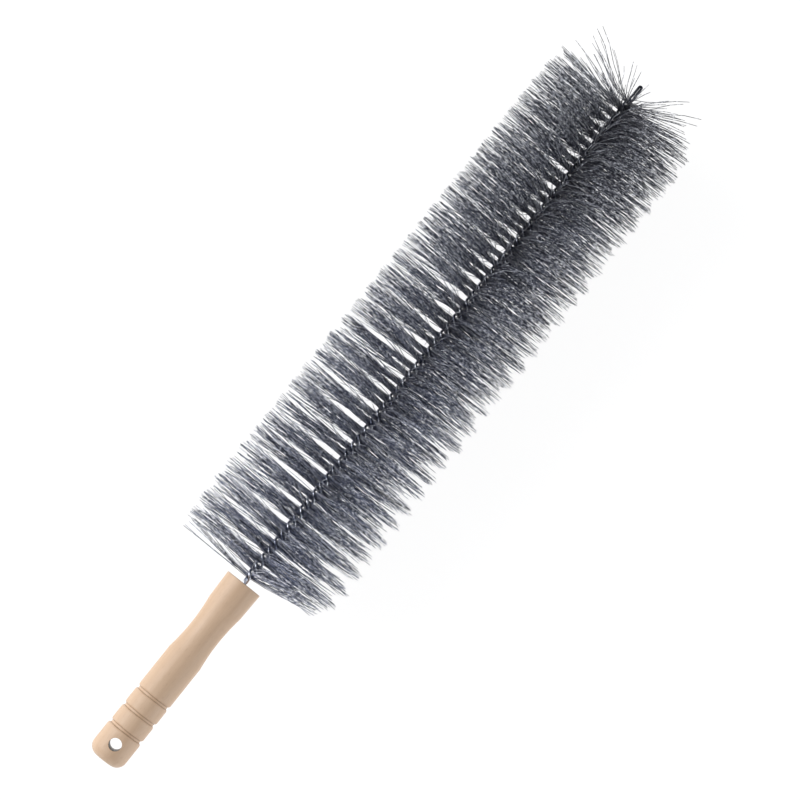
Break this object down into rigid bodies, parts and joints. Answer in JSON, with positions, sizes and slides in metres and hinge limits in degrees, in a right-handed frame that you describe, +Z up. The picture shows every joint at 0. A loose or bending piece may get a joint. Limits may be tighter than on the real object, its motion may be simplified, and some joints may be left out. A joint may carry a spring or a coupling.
{
  "type": "twisted wire cleaning brush",
  "caption": "Long cylindrical dusting brush: a spiral of dark filaments clamped in a twisted wire hairpin, set in a round turned handle with grip grooves and a hanging hole.",
  "frame": {"origin": "on the surface that the brush lies on, under the middle of its overall length and under its axis", "axes": "+X along the brush axis from the butt of the handle to the tip, +Z up along the hanging hole's axis, +Y to the left as seen from the butt"},
  "size_m": [0.446, 0.0875, 0.087],
  "materials": {
    "handle_wood": "satin",
    "wire_steel": "satin",
    "filament_nylon": "satin"
  },
  "bodies": {
    "root": {"handle": "handle_wood", "core_wire": "wire_steel", "bristle_section_1": "filament_nylon", "bristle_section_2": "filament_nylon", "bristle_section_3": "filament_nylon", "bristle_section_4": "filament_nylon"}
  },
  "joints": []
}
